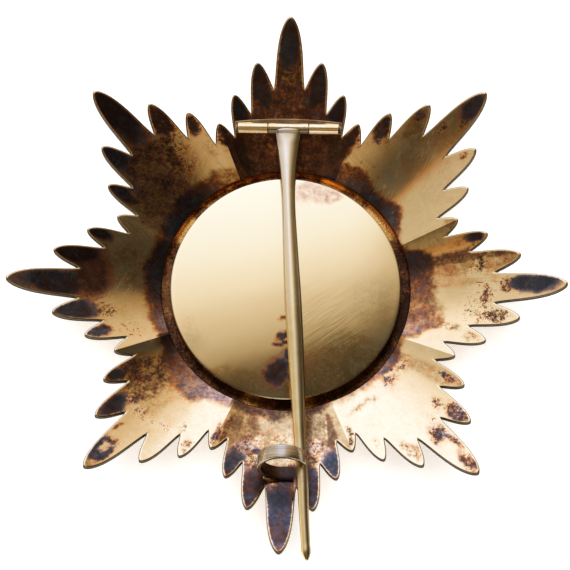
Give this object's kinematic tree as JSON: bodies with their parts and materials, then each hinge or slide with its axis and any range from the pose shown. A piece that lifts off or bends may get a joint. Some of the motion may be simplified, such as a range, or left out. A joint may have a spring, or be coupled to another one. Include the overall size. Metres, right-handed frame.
{
  "type": "breast star",
  "caption": "Star-shaped order badge with leaf-shaped rays in a dished plate, a plain centre medallion, a domed back cap and a hinged needle held in a round catch.",
  "frame": {"origin": "centre of the medallion's flat outer face, on which the star lies", "axes": "+Z out of the star's back, +Y from the centre towards the hinge, +X to the right seen from the back"},
  "size_m": [0.0904, 0.0918, 0.0146],
  "materials": {
    "gilt_plate": "worn gilding on silver, brushed, with brown and blue-black tarnish",
    "gilt_medallion": "satin gilding",
    "polished_cap": "polished pale gilding with fine scratches",
    "bright_hinge": "polished gilding",
    "needle_metal": "burnished grey-gold metal"
  },
  "bodies": {
    "plate_body": {"star": "gilt_plate", "medallion": "gilt_medallion", "back_cap": "polished_cap", "hinge_rivet": "bright_hinge"},
    "needle_body": {"needle": "needle_metal"}
  },
  "joints": [
    {"name": "needle_hinge", "type": "hinge", "parent": "plate_body", "child": "needle_body", "pos_m": [0, 0.0262, 0.00772], "axis": [-1, 0, 0], "range_deg": [0, 120]}
  ]
}
